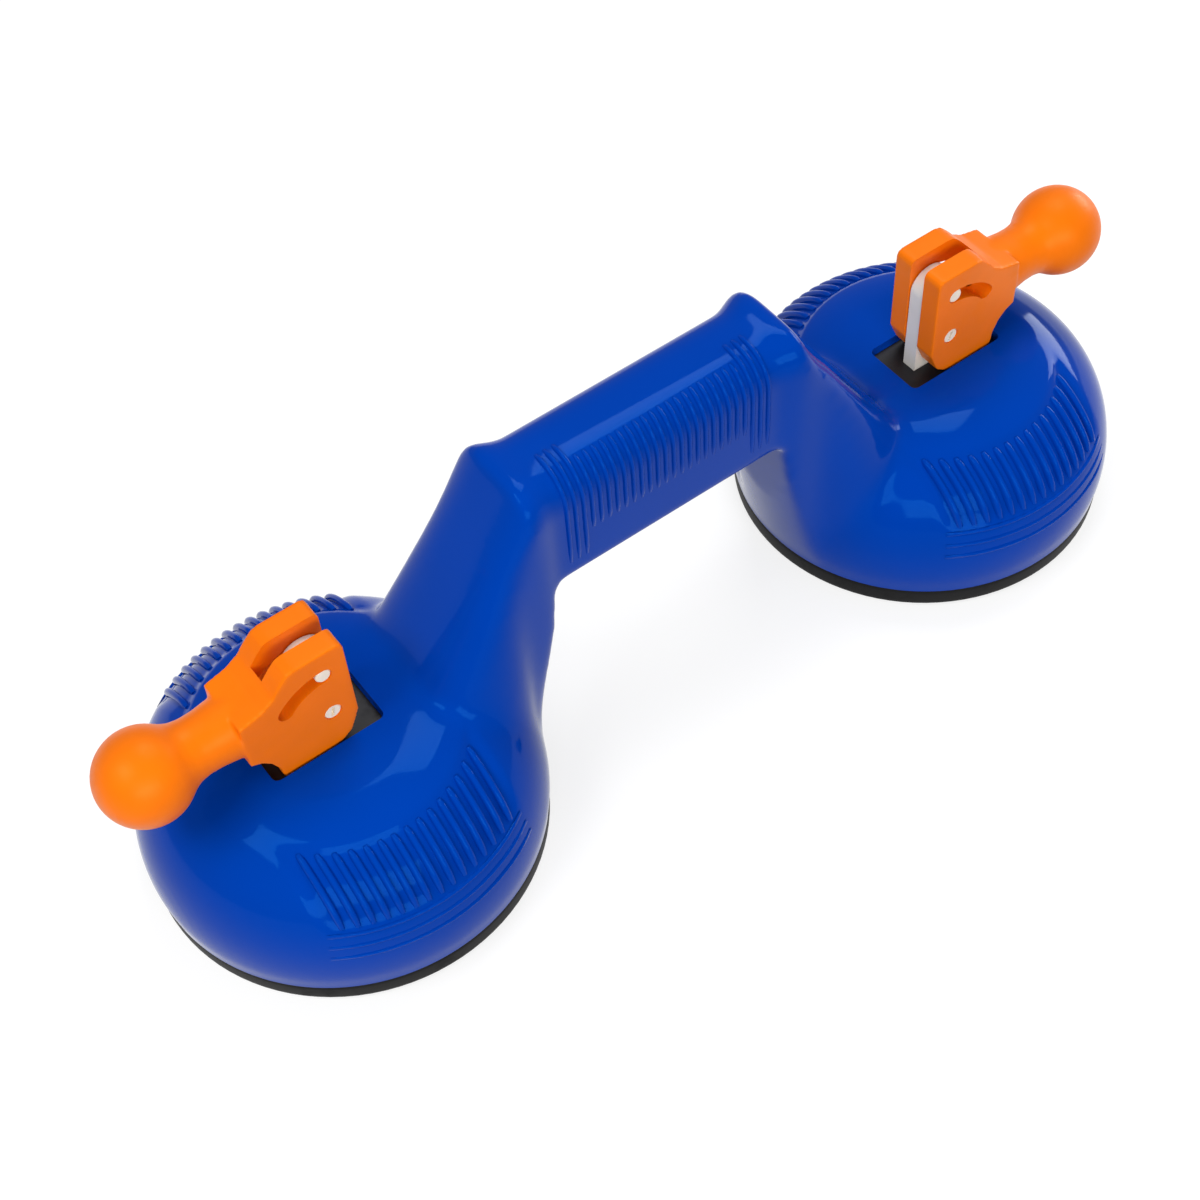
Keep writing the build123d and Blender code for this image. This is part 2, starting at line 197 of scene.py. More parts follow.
class StageSettings(PropertyGroup):
    """Camera and light round the lifter."""

    camera_place: FloatVectorProperty(
        name="Camera place", description="Where the camera stands", subtype="TRANSLATION",
        size=3, default=(-0.213091, -0.304185, 0.508713))
    camera_aim: FloatVectorProperty(
        name="Camera aim", description="What the camera looks at", subtype="TRANSLATION",
        size=3, default=(-0.01335, 0.018639, 0.0))
    camera_roll: FloatProperty(
        name="Camera roll", description="Turn of the camera about its own axis", subtype="ANGLE",
        default=-0.0937)
    focal_share: FloatProperty(
        name="Focal length", description="Focal length over the width of the picture",
        default=FOCAL_PIXELS / PICTURE_WIDTH, min=0.2, max=5)
    key_power: FloatProperty(
        name="Large light", description="Power of the large light", default=11.5, min=0, unit="POWER")
    panel_power: FloatProperty(
        name="Panel light", description="Power of each small panel light", default=3.6, min=0, unit="POWER")
    sky: FloatProperty(
        name="Sky", description="Strength of the pale sky", default=0.36, min=0)


# Materials

def add_group_sockets(group, inputs, outputs):
    """Gives a node group its named sockets."""
    for name, kind, value in inputs:
        socket = group.interface.new_socket(name, in_out="INPUT", socket_type=kind)
        socket.default_value = value
    for name, kind in outputs:
        group.interface.new_socket(name, in_out="OUTPUT", socket_type=kind)


def surface_group():
    """Slow shade variation, handling scuffs and fine bumps for moulded and rolled surfaces."""
    group = bpy.data.node_groups.get("Handled surface")
    if group:
        return group
    group = bpy.data.node_groups.new("Handled surface", "ShaderNodeTree")
    add_group_sockets(
        group,
        [("Colour", "NodeSocketColor", (0.5, 0.5, 0.5, 1)),
         ("Shade", "NodeSocketFloat", 0.1),
         ("Shade scale", "NodeSocketFloat", 20.0),
         ("Roughness", "NodeSocketFloat", 0.3),
         ("Scuff", "NodeSocketFloat", 0.1),
         ("Scuff scale", "NodeSocketFloat", 60.0),
         ("Grain scale", "NodeSocketFloat", 900.0)],
        [("Colour", "NodeSocketColor"), ("Roughness", "NodeSocketFloat"), ("Height", "NodeSocketFloat")])
    nodes, links = group.nodes, group.links
    given = nodes.new("NodeGroupInput")
    put = nodes.new("NodeGroupOutput")
    place = nodes.new("ShaderNodeTexCoord")
    cloud = nodes.new("ShaderNodeTexNoise")
    cloud.inputs["Detail"].default_value = 3
    shade = nodes.new("ShaderNodeMapRange")
    shade.inputs["From Min"].default_value = 0.3
    shade.inputs["From Max"].default_value = 0.7
    shade.inputs["To Max"].default_value = 1.0
    lowest = nodes.new("ShaderNodeMath")
    lowest.operation = "SUBTRACT"
    lowest.inputs[0].default_value = 1.0
    tint = nodes.new("ShaderNodeVectorMath")
    tint.operation = "SCALE"
    marks = nodes.new("ShaderNodeTexNoise")
    marks.inputs["Detail"].default_value = 6
    marks.inputs["Roughness"].default_value = 0.7
    streak = nodes.new("ShaderNodeMapRange")
    streak.inputs["From Min"].default_value = 0.52
    streak.inputs["From Max"].default_value = 0.75
    wear = nodes.new("ShaderNodeMath")
    wear.operation = "MULTIPLY_ADD"
    grain = nodes.new("ShaderNodeTexNoise")
    grain.inputs["Detail"].default_value = 2
    for texture, scale in ((cloud, "Shade scale"), (marks, "Scuff scale"), (grain, "Grain scale")):
        links.new(place.outputs["Object"], texture.inputs["Vector"])
        links.new(given.outputs[scale], texture.inputs["Scale"])
    links.new(given.outputs["Shade"], lowest.inputs[1])
    links.new(cloud.outputs["Fac"], shade.inputs["Value"])
    links.new(lowest.outputs[0], shade.inputs["To Min"])
    links.new(given.outputs["Colour"], tint.inputs[0])
    links.new(shade.outputs["Result"], tint.inputs["Scale"])
    links.new(marks.outputs["Fac"], streak.inputs["Value"])
    links.new(streak.outputs["Result"], wear.inputs[0])
    links.new(given.outputs["Scuff"], wear.inputs[1])
    links.new(given.outputs["Roughness"], wear.inputs[2])
    links.new(tint.outputs["Vector"], put.inputs["Colour"])
    links.new(wear.outputs[0], put.inputs["Roughness"])
    links.new(grain.outputs["Fac"], put.inputs["Height"])
    return group


def finish_material(name, colour, surface_values, bump, metallic=0.0, specular=0.5, tint=(1.0, 1.0, 1.0)):
    """A material for one finish: a colour, and its own values for the shared surface group."""
    material = bpy.data.materials.new(name)
    material.use_nodes = True
    nodes, links = material.node_tree.nodes, material.node_tree.links
    shader = nodes["Principled BSDF"]
    surface = nodes.new("ShaderNodeGroup")
    surface.node_tree = surface_group()
    surface.inputs["Colour"].default_value = (*colour, 1)
    for socket, value in surface_values.items():
        surface.inputs[socket].default_value = value
    relief = nodes.new("ShaderNodeBump")
    relief.inputs["Strength"].default_value = 1.0
    relief.inputs["Distance"].default_value = bump
    links.new(surface.outputs["Colour"], shader.inputs["Base Color"])
    links.new(surface.outputs["Roughness"], shader.inputs["Roughness"])
    links.new(surface.outputs["Height"], relief.inputs["Height"])
    links.new(relief.outputs["Normal"], shader.inputs["Normal"])
    shader.inputs["Metallic"].default_value = metallic
    shader.inputs["Specular IOR Level"].default_value = specular
    shader.inputs["Specular Tint"].default_value = (*tint, 1)
    material.diffuse_color = (*colour, 1)
    return material


def housing_material():
    """Glossy blue moulded plastic."""
    surface = {"Shade": 0.1, "Shade scale": 14, "Roughness": 0.07, "Scuff": 0.1, "Scuff scale": 38,
               "Grain scale": 260}
    return finish_material("Blue housing", bpy.context.scene.lifter_colours.housing, surface,
                           bump=0.000008, specular=0.12, tint=(0.04, 0.4, 1.0))


def lever_material():
    """Satin orange plastic."""
    surface = {"Shade": 0.12, "Shade scale": 45, "Roughness": 0.4, "Scuff": 0.16, "Scuff scale": 120,
               "Grain scale": 900}
    return finish_material("Orange lever", bpy.context.scene.lifter_colours.lever, surface,
                           bump=0.00002, specular=0.35, tint=(1.0, 0.55, 0.2))


def stem_material():
    """Natural white nylon."""
    surface = {"Shade": 0.06, "Shade scale": 60, "Roughness": 0.42, "Scuff": 0.1, "Scuff scale": 200,
               "Grain scale": 1200}
    return finish_material("White stem", bpy.context.scene.lifter_colours.stem, surface, bump=0.00001)


def pin_material():
    """Cream-white passivated pins with a soft shine."""
    surface = {"Shade": 0.1, "Shade scale": 300, "Roughness": 0.34, "Scuff": 0.2, "Scuff scale": 700,
               "Grain scale": 3000}
    return finish_material("Plated pin", bpy.context.scene.lifter_colours.pin, surface, bump=0.000006)


def rubber_material():
    """Smooth black rubber with a faint bloom."""
    surface = {"Shade": 0.35, "Shade scale": 40, "Roughness": 0.5, "Scuff": 0.2, "Scuff scale": 90,
               "Grain scale": 1500}
    return finish_material("Black rubber", bpy.context.scene.lifter_colours.rubber, surface,
                           bump=0.00001, specular=0.12)


def steel_material():
    """Zinc-plated steel."""
    surface = {"Shade": 0.12, "Shade scale": 80, "Roughness": 0.34, "Scuff": 0.2, "Scuff scale": 300,
               "Grain scale": 2500}
    return finish_material("Plated steel", bpy.context.scene.lifter_colours.steel, surface,
                           bump=0.000006, metallic=1.0)


def painted_shade_pad_material():
    """Steel painted near-black as painted shade for the pocket round the fork's foot, worn smooth by the
    cams.
    """
    surface = {"Shade": 0.3, "Shade scale": 60, "Roughness": 0.42, "Scuff": 0.25, "Scuff scale": 160,
               "Grain scale": 1800}
    return finish_material("Blackened steel", bpy.context.scene.lifter_colours.pad, surface,
                           bump=0.000008, metallic=0.4)


def put_material(obj, material):
    """Gives the whole object one material."""
    slots = obj.data.materials
    if not len(slots):
        slots.append(material)
    for index in range(len(slots)):
        slots[index] = material


CAD_FINISHES = {
    "body_shell": housing_material,
    "lever": lever_material,
    "lifting_stem": stem_material,
    "pivot_pin": pin_material,
    "pivot_screw": pin_material,
    "stop_pin": pin_material,
    "disc_stud": steel_material,
    "backing_plate": steel_material,
    "return_spring": steel_material,
    "cam_pad": painted_shade_pad_material,
    "rubber_disc": rubber_material,
}


class LIFTER_OT_finishes(Operator):
    """Gives every part of the frame its finish"""

    bl_idname = "lifter.finishes"
    bl_label = "Finishes"

    def execute(self, context):
        made = {}
        for node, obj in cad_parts.items():
            kind = node.replace("left_", "").replace("right_", "")
            maker = CAD_FINISHES[kind]
            if maker not in made:
                made[maker] = maker()
            put_material(obj, made[maker])
        return {"FINISHED"}


# Shaping

def pick_only(obj):
    """Makes one object the only one selected, and the active one."""
    bpy.ops.object.select_all(action="DESELECT")
    obj.select_set(True)
    bpy.context.view_layer.objects.active = obj


def outward(obj):
    """Merges doubled points and points every face outwards."""
    pick_only(obj)
    bpy.ops.object.mode_set(mode="EDIT")
    bpy.ops.mesh.select_all(action="SELECT")
    bpy.ops.mesh.remove_doubles(threshold=0.000002)
    bpy.ops.mesh.normals_make_consistent(inside=False)
    bpy.ops.object.mode_set(mode="OBJECT")


def loft(name, rings):
    """Extrudes a closed cap from ring to ring, so that the shape follows them all."""
    bpy.ops.object.select_all(action="DESELECT")
    bpy.ops.mesh.primitive_circle_add(vertices=len(rings[0]), radius=MM, fill_type="NGON")
    obj = bpy.context.object
    obj.name = name
    for vertex, place in zip(obj.data.vertices, rings[0]):
        vertex.co = place
    bpy.ops.object.mode_set(mode="EDIT")
    bpy.ops.mesh.select_all(action="SELECT")
    for here, there in zip(rings, rings[1:]):
        bpy.ops.mesh.extrude_region_move()
        form = bmesh.from_edit_mesh(obj.data)
        places = [Vector(place) for place in here]
        for vertex in [item for item in form.verts if item.select]:
            nearest = min(range(len(places)), key=lambda n: (places[n] - vertex.co).length_squared)
            vertex.co = there[nearest]
        bmesh.update_edit_mesh(obj.data)
    bpy.ops.object.mode_set(mode="OBJECT")
    outward(obj)
    return obj


def change(obj, kind, **settings):
    """Adds one modifier and applies it."""
    pick_only(obj)
    modifier = obj.modifiers.new(kind.title(), kind)
    for name, value in settings.items():
        setattr(modifier, name, value)
    bpy.ops.object.modifier_apply(modifier=modifier.name)
    return obj


def combine(obj, tool, operation):
    """Joins, cuts or crosses a closed shape with another, which is then removed."""
    change(obj, "BOOLEAN", operation=operation, object=tool, solver="MANIFOLD")
    bpy.data.objects.remove(tool)
    return obj


def repeated(obj, count, pitch):
    """Repeats a shape along the lifter at a pitch in millimetres."""
    return change(obj, "ARRAY", count=count, use_relative_offset=False, use_constant_offset=True,
                  constant_offset_displace=(pitch * MM, 0, 0))


def gather(name, objects):
    """Joins objects into one mesh."""
    pick_only(objects[0])
    for obj in objects[1:]:
        obj.select_set(True)
    bpy.ops.object.join()
    objects[0].name = name
    return objects[0]


def mirrored(obj, axis):
    """A copy on the other side, with its own mesh and its faces outwards."""
    pick_only(obj)
    bpy.ops.object.duplicate()
    copy = bpy.context.object
    flip = [1, 1, 1]
    flip["XYZ".index(axis)] = -1
    bpy.ops.transform.resize(value=flip, center_override=(0, 0, 0))
    bpy.ops.object.transform_apply(location=False, rotation=False, scale=True)
    outward(copy)
    return copy


def smooth_shade(obj, degrees):
    """Smooth shading with the sharper edges kept."""
    pick_only(obj)
    bpy.ops.object.shade_smooth_by_angle(angle=math.radians(degrees))


def finish_piece(obj, material, body, slot, *replaced):
    """Puts a finished piece on its body with its finish. A piece that bends between bodies has none."""
    pick_only(obj)
    bpy.ops.object.transform_apply()
    obj.data.materials.clear()
    obj.data.materials.append(material)
    if body:
        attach(obj, body)
    if replaced:
        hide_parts(*replaced)
    return obj


def eased(value, start, end):
    """Nought before start, one after end and smooth between."""
    share = min(max((value - start) / (end - start), 0.0), 1.0)
    return share * share * (3 - 2 * share)


def cup_ring(radius, height, x=CUP_X):
    """Points round an upright axis, which is the right-hand cup's unless another is given."""
    step = 2 * math.pi / CUP_POINTS
    return [(x * MM + radius * MM * math.cos(n * step), radius * MM * math.sin(n * step), height * MM)
            for n in range(CUP_POINTS)]


def section_ring(x, half_base, half_top, base, top, corner):
    """Points round a section across the lifter: a trapezium with rounded top corners."""
    steps = 8
    lean = math.atan2(half_base - half_top, top - base)
    spread = math.pi / 2 - lean
    centre_y = half_top - corner * math.tan(spread / 2)
    centre_z = top - corner
    start_y = centre_y + corner * math.cos(lean)
    start_z = centre_z + corner * math.sin(lean)
    side = [(half_base + (start_y - half_base) * n / steps, base + (start_z - base) * n / steps)
            for n in range(steps)]
    turns = [lean + spread * n / steps for n in range(steps + 1)]
    arc = [(centre_y + corner * math.cos(turn), centre_z + corner * math.sin(turn)) for turn in turns]
    half = side + arc
    over = [(centre_y - 2 * centre_y * n / steps, top) for n in range(1, steps)]
    left = [(-y, z) for y, z in reversed(half)]
    under = [(-half_base + 2 * half_base * n / steps, base) for n in range(1, steps)]
    return [(x * MM, y * MM, z * MM) for y, z in half + over + left + under]


def prism(name, outline, near, far):
    """A shape of one (along, up) outline, from one place across the lifter to another."""
    return loft(name, [[(x * MM, y * MM, z * MM) for x, z in outline] for y in (near, far)])


def box_form(name, low, high):
    """A box between two corners, in millimetres."""
    outline = [(low[0], low[2]), (high[0], low[2]), (high[0], high[2]), (low[0], high[2])]
    return prism(name, outline, low[1], high[1])


# Housing

def dome_profile(inset):
    """Radius and height along a smooth curve through the cup's section."""
    last = len(DOME_SECTION) - 1
    path = []
    for n in range(last):
        around = [DOME_SECTION[min(max(n + step, 0), last)] for step in (-1, 0, 1, 2)]
        for t in (0, 0.25, 0.5, 0.75):
            place = []
            for a, b, c, d in zip(*around):
                bend = (2 * a - 5 * b + 4 * c - d) * t * t + (3 * b - a - 3 * c + d) * t ** 3
                place.append(b + 0.5 * ((c - a) * t + bend))
            path.append(tuple(place))
    return [(radius - inset, height - inset) for radius, height in path + [DOME_SECTION[last]]]


DOME_ROWS = dome_profile(0)


def dome_height(radius):
    """Height of the cup's surface at a distance from its axis."""
    if radius <= CROWN_RADIUS:
        return CROWN
    for (outer, low), (inner, high) in zip(DOME_ROWS, DOME_ROWS[1:]):
        if inner <= radius <= outer:
            return low + (high - low) * (outer - radius) / (outer - inner)
    return DOME_ROWS[0][1]


def cup_solid(name, inset, base):
    """Solid form of one cup over the right-hand disc."""
    rows = [(RIM_RADIUS - inset, base), (RIM_RADIUS - inset, RIM)] + dome_profile(inset)
    rows += [((CROWN_RADIUS - inset) * share, CROWN - inset) for share in (0.7, 0.4, 0.12)]
    return loft(name, [cup_ring(radius, height) for radius, height in rows])


def chord(x):
    """Half width of the cup's rim at a place along the lifter."""
    return math.sqrt(max(CUP_RADIUS ** 2 - (CUP_X - x) ** 2, 0.0))


def arm_section(x, inset, base):
    """One section of the arm, from the grip's end over the crest down to the crown."""
    share = min(max((x - CREST_X) / (ARM_END - CREST_X), 0.0), 1.0)
    crest = eased(x, GRIP_END, CREST_X)
    top = GRIP_TOP + CREST_RISE * crest - (GRIP_TOP + CREST_RISE - CROWN) * share
    top -= math.sin(math.pi * share)
    if x > ARM_END:
        top = CROWN - eased(x, ARM_END, ARM_SECTIONS[-1])
    half_top = GRIP_SIDE + CREST_SPREAD * crest + share
    half_base = half_top + DRAFT
    if x > CREST_X:
        half_base = max(chord(x) - 1.0, half_base + 3.0 * share)
    corner = GRIP_CORNER + 5.0 * share - inset * CORNER_SHARE
    return section_ring(x, half_base - inset, half_top - inset, base, top - inset, corner)


def arm_form(name, inset, base):
    """Solid form of the right-hand arm, brought in to the round rim by a leaning cone."""
    arm = loft(name, [arm_section(x, inset, base) for x in ARM_SECTIONS])
    cone = loft("Cone", [cup_ring(RIM_RADIUS - inset, base - 1), cup_ring(RIM_RADIUS - inset, RIM),
                         cup_ring(CUP_RADIUS + GRIP_SIDE - inset, 112, CUP_X - 8.0)])
    return combine(arm, cone, "INTERSECT")


def gap_form(wall):
    """What is open under the grip and between the cups, less a wall."""
    foot, top, roof = GAP_FOOT + wall, GAP_TOP + wall, GRIP_UNDER + wall
    outline = [(-foot, -20), (foot, -20), (foot, RIM), (top, roof), (-top, roof), (-foot, RIM)]
    return prism("Gap", outline, -80, 80)


def grip_form(name, inset, base):
    """Solid form of the straight grip."""
    half = GRIP_SIDE - inset
    corner = GRIP_CORNER - inset * CORNER_SHARE
    places = (-GRIP_END - 1, -18, 0, 18, GRIP_END + 1)
    return loft(name, [section_ring(x, half + DRAFT, half, base, GRIP_TOP - inset, corner) for x in places])


def pocket_form():
    """Recess in the right-hand crown for the foot of the fork, and the slot for the stem's blade."""
    pocket = box_form("Pocket", (CUP_X - POCKET_INBOARD, -POCKET_SIDE, POCKET_FLOOR),
                      (CUP_X + POCKET_OUTBOARD, POCKET_SIDE, 80))
    change(pocket, "BEVEL", width=2 * MM, segments=4, limit_method="ANGLE")
    slot = box_form("Slot", (CUP_X - BLADE_SLOT_LENGTH, -BLADE_SLOT_SIDE, 30),
                    (CUP_X + BLADE_SLOT_LENGTH, BLADE_SLOT_SIDE, 60))
    return combine(pocket, slot, "UNION")


def foot_weight(x, y, z):
    """How softly the housing flows at a place: most at the arms' feet and in the valley above them."""
    foot = eased(x, 42, 50) * (1 - eased(x, 92, 104)) * eased(y, 9, 18)
    foot *= eased(z, 10, 20) * (1 - eased(z, 80, 98))
    valley = eased(x, 64, 72) * (1 - eased(x, 88, 97)) * (1 - eased(y, 20, 28)) * eased(z, 42, 47)
    return max(foot, valley)


def soften_feet(housing, passes):
    """Lets the arms' feet flow into the cups."""
    flow = housing.vertex_groups.new(name="Arm feet")
    for vertex in housing.data.vertices:
        x, y, z = vertex.co / MM
        flow.add([vertex.index], foot_weight(abs(x), abs(y), z), "REPLACE")
    change(housing, "SMOOTH", factor=0.5, iterations=passes, vertex_group="Arm feet")


def press_shoulders(housing):
    """Presses a shallow hollow with soft edges into all four shoulders, for the ribs to stand in."""
    for vertex in housing.data.vertices:
        x, y = abs(vertex.co.x) / MM - CUP_X, abs(vertex.co.y) / MM
        if y < 20:
            continue
        radius = math.hypot(x, y)
        skin = eased(vertex.co.z / MM, dome_height(radius) - 2.4, dome_height(radius) - 1.2)
        across = 1 - eased(abs(x), 28.5, 33.0)
        along = eased(radius, 38.0, 42.5) * (1 - eased(radius, 54.0, 57.4))
        depth = 1.15 * skin * across * along
        if depth:
            out_x, out_y = math.copysign(1, vertex.co.x) * x, math.copysign(1, vertex.co.y) * y
            vertex.co -= Vector((out_x, out_y, 1.1 * radius)).normalized() * depth * MM


def build_housing_form():
    """Housing as one smooth moulding: remeshed so that its parts flow together, then hollowed."""
    housing = cup_solid("Cup", 0, -8)
    arm = arm_form("Arm", 0, -8)
    for form in (arm, mirrored(housing, "X"), mirrored(arm, "X"), grip_form("Grip", 0, 40)):
        combine(housing, form, "UNION")
    housing.name = "housing_moulding"
    combine(housing, gap_form(0), "DIFFERENCE")
    change(housing, "REMESH", mode="VOXEL", voxel_size=1.15 * MM)
    soften_feet(housing, 60)
    change(housing, "SMOOTH", factor=0.5, iterations=18)
    combine(housing, box_form("Floor cut", (-200, -80, -30), (200, 80, RIM)), "DIFFERENCE")
    inner_cup = cup_solid("Inner cup", WALL + 0.9, -9)
    inner_arm = combine(arm_form("Inner arm", WALL + 1.8, -9), gap_form(WALL + 1.2), "DIFFERENCE")
    for form in (inner_cup, inner_arm):
        combine(housing, mirrored(form, "X"), "DIFFERENCE")
        combine(housing, form, "DIFFERENCE")
    combine(housing, grip_form("Inner grip", WALL, GRIP_UNDER - 4), "DIFFERENCE")
    press_shoulders(housing)
    pocket = pocket_form()
    combine(housing, mirrored(pocket, "X"), "DIFFERENCE")
    combine(housing, pocket, "DIFFERENCE")
    return housing


def strip(name, path, width, rise, sink):
    """A rounded rib along a path of (place, outward) pairs in a plane across the lifter."""
    shape = ((-0.5, -1.0), (-0.46, 0.35), (-0.3, 0.8), (-0.1, 0.98),
             (0.1, 0.98), (0.3, 0.8), (0.46, 0.35), (0.5, -1.0))
    last = len(path) - 1
    rings = []
    for index, ((x, y, z), (out_y, out_z)) in enumerate(path):
        end = min(index, last - index)
        fade = (0.25, 0.8, 1.0)[min(end, 2)]
        ring = []
        for across, up in shape:
            lift = up * rise * fade if up > 0 else up * sink
            side = across * width * (0.6 + 0.4 * fade)
            ring.append(((x + side) * MM, (y + out_y * lift) * MM, (z + out_z * lift) * MM))
        rings.append(ring)
    return loft(name, rings)


def shoulder_rib(offset):
    """One rib on the near shoulder of the right-hand cup."""
    width, rise, sink = 2.1, 1.1, 0.8
    inner = math.sqrt(RIB_INNER ** 2 - offset ** 2)
    outer = math.sqrt(RIB_OUTER ** 2 - offset ** 2)
    path = []
    for n in range(13):
        y = inner + (outer - inner) * n / 12
        here = dome_height(math.hypot(offset, y))
        slope = dome_height(math.hypot(offset, y + 0.5)) - dome_height(math.hypot(offset, y - 0.5))
        length = math.hypot(1, slope)
        path.append(((CUP_X + offset, -y, here - 1.0 / length), (slope / length, 1 / length)))
    return strip("Rib", path, width, rise, sink)


def shoulder_line(radius):
    """Fine raised line round the near shoulder of the right-hand cup, below the ribs."""
    width, rise, steps = 1.3, 0.45, 40
    slope = dome_height(radius + 0.5) - dome_height(radius - 0.5)
    length = math.hypot(1, slope)
    rings = []
    for n in range(steps + 1):
        turn = math.radians(-LINE_HALF_TURN + 2 * LINE_HALF_TURN * n / steps)
        fade = min(min(n, steps - n) / 5, 1.0)
        ring = []
        for across, up in ((-0.5, -1.0), (-0.36, 0.5), (0.0, 0.9), (0.36, 0.5), (0.5, -1.0)):
            out = radius + (up * rise * fade * -slope + across * width) / length
            height = dome_height(radius) + (up * rise * fade + across * width * slope) / length
            ring.append(((CUP_X + out * math.sin(turn)) * MM, -out * math.cos(turn) * MM, height * MM))
        rings.append(ring)
    return loft("Line", rings)


def build_shoulder_ribs():
    """Ribs and fine lines on both shoulders of both cups."""
    lines = [shoulder_line(radius) for radius in LINE_RADII]
    ribs = [shoulder_rib((n - RIB_COUNT // 2) * RIB_PITCH) for n in range(RIB_COUNT)]
    near = gather("Ribs", ribs + lines)
    sides = gather("Ribs", [near, mirrored(near, "Y")])
    return gather("shoulder_ribs", [sides, mirrored(sides, "X")])


def grip_path(x, high, low, side):
    """Places and outward directions down one side of the grip, from a distance off its crown line."""
    centre = GRIP_SIDE - GRIP_CORNER
    corner = GRIP_TOP - GRIP_CORNER
    path = []
    if high < centre:
        path += [((x, -y, GRIP_TOP), (0, 1)) for y in (high, (high + centre) / 2)]
    start = 0.0 if high < centre else math.asin(min((high - centre) / GRIP_CORNER, 1.0))
    for n in range(9):
        turn = start + (math.pi / 2 - start) * n / 8
        path.append(((x, -centre - GRIP_CORNER * math.sin(turn), corner + GRIP_CORNER * math.cos(turn)),
                     (-math.sin(turn), math.cos(turn))))
    path += [((x, -GRIP_SIDE, corner + (low - corner) * n / 6), (-1, 0)) for n in range(1, 7)]
    return [((x, side * y, z), (side * out_y, out_z)) for (x, y, z), (out_y, out_z) in path]


def build_grip_ribs():
    """Fine ribs down both sides of the grip: three long ones at each end, the rest below a bare crown."""
    width, rise, sink = 1.5, 0.9, 0.6
    rows = []
    for side, bare, end_bare in RIB_STARTS:
        groups = ((bare, MIDDLE_RIBS), (end_bare, END_RIBS[0]), (end_bare, END_RIBS[1]))
        for high, (start, count, low) in groups:
            rib = strip("Rib", grip_path(start * GRIP_RIB_PITCH, high, low, side), width, rise, sink)
            rows.append(repeated(rib, count, GRIP_RIB_PITCH))
    return gather("grip_ribs", rows)


def build_grip_webs():
    """Webs across the hollow underside of the grip."""
    webs = repeated(box_form("Web", (-27.8, -12.2, 71.5), (-26.2, 12.2, 104)), count=7, pitch=9)
    webs.name = "grip_webs"
    return webs


class LIFTER_OT_housing(Operator):
    """Adds the blue housing with its ribs"""

    bl_idname = "lifter.housing"
    bl_label = "Housing"

    def execute(self, context):
        blue = housing_material()
        housing = finish_piece(build_housing_form(), blue, "housing", "blue_housing", "body_shell")
        smooth_shade(housing, 40)
        for build, degrees in ((build_shoulder_ribs, 60), (build_grip_ribs, 60), (build_grip_webs, 30)):
            smooth_shade(finish_piece(build(), blue, "housing", "blue_housing"), degrees)
        return {"FINISHED"}


# Levers

def lever_place(points):
    """Moves (reach, height) points from the pivot to the right-hand cup."""
    return [(CUP_X + x, PIVOT_Z + z) for x, z in points]


def arc_points(centre, radius, degrees):
    """(Reach, height) points of an arc round a centre."""
    reach, height = centre
    turns = [math.radians(turn) for turn in degrees]
    return [(reach + radius * math.cos(turn), height + radius * math.sin(turn)) for turn in turns]


def cam_outline():
    """Underside of a cheek: it lets the stem down by the same drop for each radian of turn."""
    points = []
    for degrees in range(0, 51, 5):
        turn = math.radians(degrees)
        height = CAM_HEIGHT - CAM_DROP * turn
        points.append((-height * math.sin(turn) + CAM_DROP * math.cos(turn),
                       -height * math.cos(turn) - CAM_DROP * math.sin(turn)))
    return points


def cheek_outline():
    """Side outline of the fork, round from the flat under it."""
    low = [(17.3, -CAM_HEIGHT), (12.0, -CAM_HEIGHT)]
    inboard = [(-7.2, -5.0), (-7.2, 4.0), (-7.2, 14.0), (-7.2, 23.6), (-6.6, 25.1), (-5.0, 25.5)]
    top = [(0.0, 25.5), (7.5, 25.5), (9.6, 25.0), (12.0, 22.6), (15.0, 19.0), (19.0, 16.4), (26.0, 14.6)]
    under = [(26.0, -2.2), (23.0, -3.6), (20.4, -6.4), (18.7, -10.0), (18.0, -14.6)]
    return low + cam_outline() + inboard + top + under


def neck_rows():
    """Reach and radius along the neck and over the ball."""
    start = math.pi - math.acos((BALL_REACH - BALL_START) / BALL_RADIUS)
    ball = []
    for n in range(17):
        turn = start * (1 - n / 16)
        ball.append((BALL_REACH + BALL_RADIUS * math.cos(turn), max(BALL_RADIUS * math.sin(turn), 0.05)))
    return [*NECK_SECTION, *ball]


def neck_form():
    """Round neck and ball of the right-hand lever."""
    step = 2 * math.pi / PIN_POINTS
    rings = []
    for reach, radius in neck_rows():
        rings.append([((CUP_X + reach) * MM, radius * math.cos(n * step) * MM,
                       (PIVOT_Z + NECK_UP + radius * math.sin(n * step)) * MM) for n in range(PIN_POINTS)])
    return loft("Neck", rings)


def slit_outline():
    """Room for the stem's blade between the cheeks, with a round end towards the ball."""
    return [(-20, -30), (14, -30), *arc_points((0, 0), SLIT_REACH, range(-48, 49, 6)), (14, 60), (-20, 60)]


def slot_outline():
    """Curved slot for the stop pin, from straight over the pivot down to the end of the turn."""
    first_end = (0, SLOT_REACH)
    last_end = arc_points((0, 0), SLOT_REACH, [40])[0]
    return [*arc_points((0, 0), SLOT_REACH + SLOT_HALF, range(40, 91, 5)),
            *arc_points(first_end, SLOT_HALF, range(110, 251, 20)),
            *arc_points((0, 0), SLOT_REACH - SLOT_HALF, range(90, 39, -5)),
            *arc_points(last_end, SLOT_HALF, range(240, 381, 20))]


